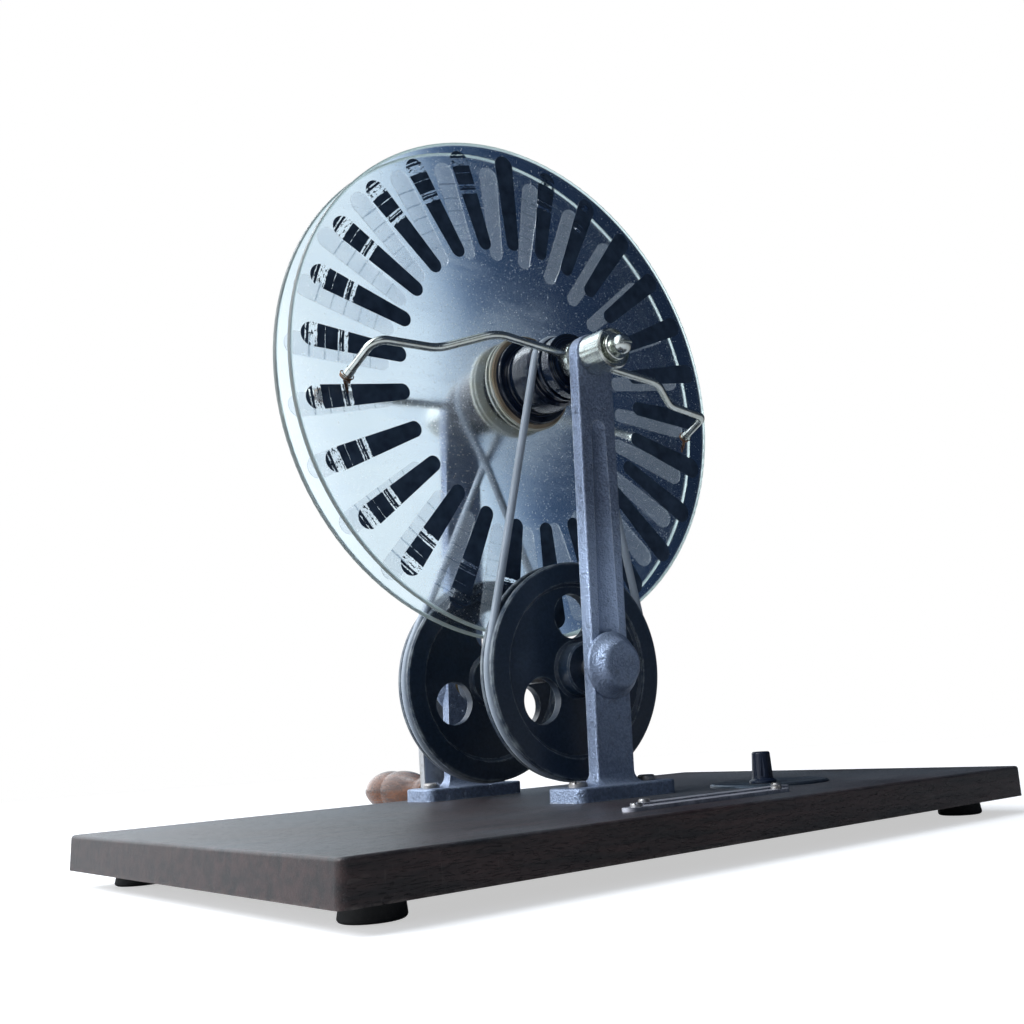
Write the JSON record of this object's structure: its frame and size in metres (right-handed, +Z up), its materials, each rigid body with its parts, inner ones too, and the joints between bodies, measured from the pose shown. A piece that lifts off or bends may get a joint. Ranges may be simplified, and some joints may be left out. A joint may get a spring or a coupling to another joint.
{
  "type": "wimshurst machine",
  "caption": "Hand-cranked influence machine: two glass discs with foil sectors turn opposite ways on one axle, driven by an open and a crossed belt, on a wooden board.",
  "frame": {"origin": "on the table, under the middle of the gap between the two discs", "axes": "+Z up, +Y along the disc axle towards the crank, +X to the right seen from the side away from the crank"},
  "size_m": [0.42, 0.35, 0.409],
  "materials": {
    "board_wood": "dark stained wood, edges worn paler",
    "foot_rubber": "matte",
    "screw_steel": "dull zinc",
    "column_paint": "silver grey paint on a fine-grained casting",
    "axle_steel": "turned steel",
    "nickel": "old nickel plate",
    "glass": "clear, dusty",
    "near_foil": "dark tarnished foil with bright rubbed lines",
    "far_foil": "pale foil",
    "washer_paper": "aged paper",
    "washer_fibre": "brown fibre",
    "ebonite": "polished black ebonite",
    "wheel_black": "black enamel, lips worn bright",
    "brass": "dull brass",
    "contact_metal": "tarnished",
    "plate_metal": "dull, scratched",
    "belt_cord": "grey twisted cord",
    "brush_wire": "coppery wire",
    "grip_wood": "varnished, dark",
    "crank_steel": "plated steel",
    "knob_black": "satin black"
  },
  "bodies": {
    "stand": {"base_board": "board_wood", "rubber_feet": "foot_rubber", "foot_screws": "screw_steel", "near_column": "column_paint", "far_column": "column_paint", "column_screws": "screw_steel", "disc_axle": "axle_steel", "near_axle_sleeve": "nickel", "far_axle_sleeve": "nickel", "axle_washers": "nickel", "axle_nuts": "nickel", "friction_washers": "washer_fibre", "axle_spacer": "brass", "near_belt": "belt_cord", "far_belt": "belt_cord", "near_shaft_bush": "brass", "far_shaft_bush": "brass", "switch_plate": "plate_metal", "switch_stud": "brass", "contact_strips": "contact_metal", "strip_screws": "screw_steel"},
    "drive": {"drive_shaft": "axle_steel", "near_drive_wheel": "wheel_black", "far_drive_wheel": "wheel_black", "shaft_set_screws": "screw_steel", "stop_collar": "brass", "crank_arm": "crank_steel", "crank_washer": "crank_steel", "crank_nut": "crank_steel", "grip_spindle": "crank_steel"},
    "grip": {"crank_grip": "grip_wood"},
    "near_disc_set": {"near_disc": "glass", "near_sectors": "near_foil", "near_boss": "ebonite", "near_boss_bush": "brass", "near_paper_washers": "washer_paper", "near_fibre_washer": "washer_fibre", "near_clamp_nut": "ebonite"},
    "far_disc_set": {"far_disc": "glass", "far_sectors": "far_foil", "far_boss": "ebonite", "far_boss_bush": "brass", "far_paper_washers": "washer_paper", "far_fibre_washer": "washer_fibre", "far_clamp_nut": "ebonite"},
    "near_neutraliser": {"near_neutraliser_collar": "nickel", "near_collar_screw": "screw_steel", "near_brush_rod_left": "nickel", "near_brush_rod_right": "nickel", "near_brush_ferrules": "nickel", "near_wire_brushes": "brush_wire"},
    "far_neutraliser": {"far_neutraliser_collar": "nickel", "far_collar_screw": "screw_steel", "far_brush_rod_left": "nickel", "far_brush_rod_right": "nickel", "far_brush_ferrules": "nickel", "far_wire_brushes": "brush_wire"},
    "knob": {"switch_knob": "knob_black"}
  },
  "joints": [
    {"name": "crank_turn", "type": "hinge", "parent": "stand", "child": "drive", "pos_m": [0, 0, 0.09], "axis": [0, 1, 0], "continuous": true},
    {"name": "grip_spin", "type": "hinge", "parent": "drive", "child": "grip", "pos_m": [0, 0.1365, 0.028], "axis": [0, 1, 0], "continuous": true},
    {"name": "near_disc_spin", "type": "hinge", "parent": "stand", "child": "near_disc_set", "pos_m": [0, -0.0315, 0.259], "axis": [0, 1, 0], "continuous": true},
    {"name": "far_disc_spin", "type": "hinge", "parent": "stand", "child": "far_disc_set", "pos_m": [0, 0.0315, 0.259], "axis": [0, 1, 0], "continuous": true},
    {"name": "near_neutraliser_swing", "type": "hinge", "parent": "stand", "child": "near_neutraliser", "pos_m": [0, -0.0575, 0.259], "axis": [0, 1, 0], "range_deg": [-40, 40]},
    {"name": "far_neutraliser_swing", "type": "hinge", "parent": "stand", "child": "far_neutraliser", "pos_m": [0, 0.0575, 0.259], "axis": [0, 1, 0], "range_deg": [-40, 40]},
    {"name": "switch_turn", "type": "hinge", "parent": "stand", "child": "knob", "pos_m": [0.073, -0.103, 0.034], "axis": [0, 0, 1], "range_deg": [-60, 60]}
  ],
  "couplings": [
    {"joint": "near_disc_spin", "follows": "crank_turn", "ratio": 3.0601},
    {"joint": "far_disc_spin", "follows": "crank_turn", "ratio": -3.0601}
  ]
}
